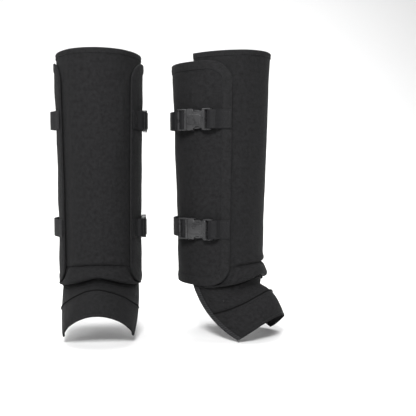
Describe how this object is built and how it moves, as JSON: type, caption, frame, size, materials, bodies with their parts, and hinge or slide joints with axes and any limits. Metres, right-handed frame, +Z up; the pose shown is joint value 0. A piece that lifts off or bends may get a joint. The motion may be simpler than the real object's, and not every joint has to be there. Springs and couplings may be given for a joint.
{
  "type": "pair of snake gaiters",
  "caption": "Knee-high stiff fabric snake gaiters with wrap-round back flaps, buckled webbing straps and instep guards.",
  "frame": {"origin": "centre of the left gaiter's ankle opening, level with the hem of its back panel", "axes": "+Z up the leg, -Y to the left gaiter's toe, +X to its outer side and on to the right gaiter"},
  "size_m": [0.3281, 0.1752, 0.3919],
  "materials": {
    "woven_nylon": "plain-weave coated nylon, matt with a faint sheen",
    "lining_cloth": "smooth closely woven lining",
    "binding_tape": "ribbed nylon binding tape, stitched",
    "webbing": "ribbed nylon webbing",
    "touch_fastener": "hook-and-loop fastener",
    "buckle_plastic": "moulded acetal, finely grained, semi-gloss",
    "plate_plastic": "stiff moulded plate, hidden in its pocket"
  },
  "bodies": {
    "left_gaiter": {"left_shell_outer": "woven_nylon", "left_shell_lining": "lining_cloth", "left_shin_plates": "plate_plastic", "left_shell_binding": "binding_tape", "left_loop_strips": "touch_fastener", "left_ankle_cuff": "woven_nylon", "left_back_panel": "woven_nylon", "left_back_lining": "lining_cloth", "left_back_binding": "binding_tape", "left_inner_straps": "webbing"},
    "left_flap": {"left_flap_panel": "woven_nylon", "left_flap_lining": "lining_cloth", "left_flap_binding": "binding_tape", "left_hook_strip": "touch_fastener", "left_upper_short_strap": "webbing", "left_lower_short_strap": "webbing", "left_upper_socket": "buckle_plastic", "left_lower_socket": "buckle_plastic", "left_outer_straps": "webbing"},
    "left_upper_buckle_plug": {"left_upper_plug": "buckle_plastic", "left_upper_strap_end": "webbing"},
    "left_upper_top_arm": {"left_upper_plug_top_arm": "buckle_plastic"},
    "left_upper_bottom_arm": {"left_upper_plug_bottom_arm": "buckle_plastic"},
    "left_lower_buckle_plug": {"left_lower_plug": "buckle_plastic", "left_lower_strap_end": "webbing"},
    "left_lower_top_arm": {"left_lower_plug_top_arm": "buckle_plastic"},
    "left_lower_bottom_arm": {"left_lower_plug_bottom_arm": "buckle_plastic"},
    "left_instep_guard": {"left_foot_guard": "woven_nylon", "left_foot_overlay": "woven_nylon", "left_foot_binding": "binding_tape"},
    "right_gaiter": {"right_shell_outer": "woven_nylon", "right_shell_lining": "lining_cloth", "right_shin_plates": "plate_plastic", "right_shell_binding": "binding_tape", "right_loop_strips": "touch_fastener", "right_ankle_cuff": "woven_nylon", "right_back_panel": "woven_nylon", "right_back_lining": "lining_cloth", "right_back_binding": "binding_tape", "right_inner_straps": "webbing"},
    "right_flap": {"right_flap_panel": "woven_nylon", "right_flap_lining": "lining_cloth", "right_flap_binding": "binding_tape", "right_hook_strip": "touch_fastener", "right_upper_short_strap": "webbing", "right_lower_short_strap": "webbing", "right_upper_socket": "buckle_plastic", "right_lower_socket": "buckle_plastic", "right_outer_straps": "webbing"},
    "right_upper_buckle_plug": {"right_upper_plug": "buckle_plastic", "right_upper_strap_end": "webbing"},
    "right_upper_top_arm": {"right_upper_plug_top_arm": "buckle_plastic"},
    "right_upper_bottom_arm": {"right_upper_plug_bottom_arm": "buckle_plastic"},
    "right_lower_buckle_plug": {"right_lower_plug": "buckle_plastic", "right_lower_strap_end": "webbing"},
    "right_lower_top_arm": {"right_lower_plug_top_arm": "buckle_plastic"},
    "right_lower_bottom_arm": {"right_lower_plug_bottom_arm": "buckle_plastic"},
    "right_instep_guard": {"right_foot_guard": "woven_nylon", "right_foot_overlay": "woven_nylon", "right_foot_binding": "binding_tape"}
  },
  "joints": [
    {"name": "pair_spacing", "type": "slide", "parent": "left_gaiter", "child": "right_gaiter", "axis": [1, 0, 0], "range_m": [0, 0.15]},
    {"name": "left_flap_opens", "type": "hinge", "parent": "left_gaiter", "child": "left_flap", "pos_m": [0.01555, 0.06317, 0], "axis": [0.0036, 0.0332, 0.9994], "range_deg": [0, 21]},
    {"name": "left_upper_plug_pulls_out", "type": "slide", "parent": "left_flap", "child": "left_upper_buckle_plug", "axis": [0, 1, 0], "range_m": [0, 0.026]},
    {"name": "left_upper_top_arm_squeezes", "type": "hinge", "parent": "left_upper_buckle_plug", "child": "left_upper_top_arm", "pos_m": [0.06424, 0.01, 0.235], "axis": [1, 0, 0], "range_deg": [0, 8], "stiffness_Nm_per_rad": 0.05},
    {"name": "left_upper_bottom_arm_squeezes", "type": "hinge", "parent": "left_upper_buckle_plug", "child": "left_upper_bottom_arm", "pos_m": [0.06424, 0.01, 0.219], "axis": [1, 0, 0], "range_deg": [-8, 0], "stiffness_Nm_per_rad": 0.05},
    {"name": "left_lower_plug_pulls_out", "type": "slide", "parent": "left_flap", "child": "left_lower_buckle_plug", "axis": [0, 1, 0], "range_m": [0, 0.026]},
    {"name": "left_lower_top_arm_squeezes", "type": "hinge", "parent": "left_lower_buckle_plug", "child": "left_lower_top_arm", "pos_m": [0.06176, 0.01, 0.086], "axis": [1, 0, 0], "range_deg": [0, 8], "stiffness_Nm_per_rad": 0.05},
    {"name": "left_lower_bottom_arm_squeezes", "type": "hinge", "parent": "left_lower_buckle_plug", "child": "left_lower_bottom_arm", "pos_m": [0.06176, 0.01, 0.07], "axis": [1, 0, 0], "range_deg": [-8, 0], "stiffness_Nm_per_rad": 0.05},
    {"name": "left_instep_guard_tilts", "type": "hinge", "parent": "left_gaiter", "child": "left_instep_guard", "pos_m": [0, 0, 0.01], "axis": [-1, 0, 0], "range_deg": [-12, 4]},
    {"name": "right_flap_opens", "type": "hinge", "parent": "right_gaiter", "child": "right_flap", "pos_m": [0.11364, 0.01863, 0], "axis": [0.0284, -0.0176, -0.9994], "range_deg": [0, 21]},
    {"name": "right_upper_plug_pulls_out", "type": "slide", "parent": "right_flap", "child": "right_upper_buckle_plug", "axis": [-0.788, 0.6157, 0], "range_m": [0, 0.026]},
    {"name": "right_upper_top_arm_squeezes", "type": "hinge", "parent": "right_upper_buckle_plug", "child": "right_upper_top_arm", "pos_m": [0.12557, -0.05247, 0.235], "axis": [0.6157, 0.788, 0], "range_deg": [0, 8], "stiffness_Nm_per_rad": 0.05},
    {"name": "right_upper_bottom_arm_squeezes", "type": "hinge", "parent": "right_upper_buckle_plug", "child": "right_upper_bottom_arm", "pos_m": [0.12557, -0.05247, 0.219], "axis": [0.6157, 0.788, 0], "range_deg": [-8, 0], "stiffness_Nm_per_rad": 0.05},
    {"name": "right_lower_plug_pulls_out", "type": "slide", "parent": "right_flap", "child": "right_lower_buckle_plug", "axis": [-0.788, 0.6157, 0], "range_m": [0, 0.026]},
    {"name": "right_lower_top_arm_squeezes", "type": "hinge", "parent": "right_lower_buckle_plug", "child": "right_lower_top_arm", "pos_m": [0.1271, -0.05051, 0.086], "axis": [0.6157, 0.788, 0], "range_deg": [0, 8], "stiffness_Nm_per_rad": 0.05},
    {"name": "right_lower_bottom_arm_squeezes", "type": "hinge", "parent": "right_lower_buckle_plug", "child": "right_lower_bottom_arm", "pos_m": [0.1271, -0.05051, 0.07], "axis": [0.6157, 0.788, 0], "range_deg": [-8, 0], "stiffness_Nm_per_rad": 0.05},
    {"name": "right_instep_guard_tilts", "type": "hinge", "parent": "right_gaiter", "child": "right_instep_guard", "pos_m": [0.173, -0.008, 0.01], "axis": [-0.6157, -0.788, 0], "range_deg": [-6, 10]}
  ],
  "couplings": [
    {"joint": "left_upper_bottom_arm_squeezes", "follows": "left_upper_top_arm_squeezes", "ratio": -1},
    {"joint": "left_lower_bottom_arm_squeezes", "follows": "left_lower_top_arm_squeezes", "ratio": -1},
    {"joint": "right_upper_bottom_arm_squeezes", "follows": "right_upper_top_arm_squeezes", "ratio": -1},
    {"joint": "right_lower_bottom_arm_squeezes", "follows": "right_lower_top_arm_squeezes", "ratio": -1}
  ]
}
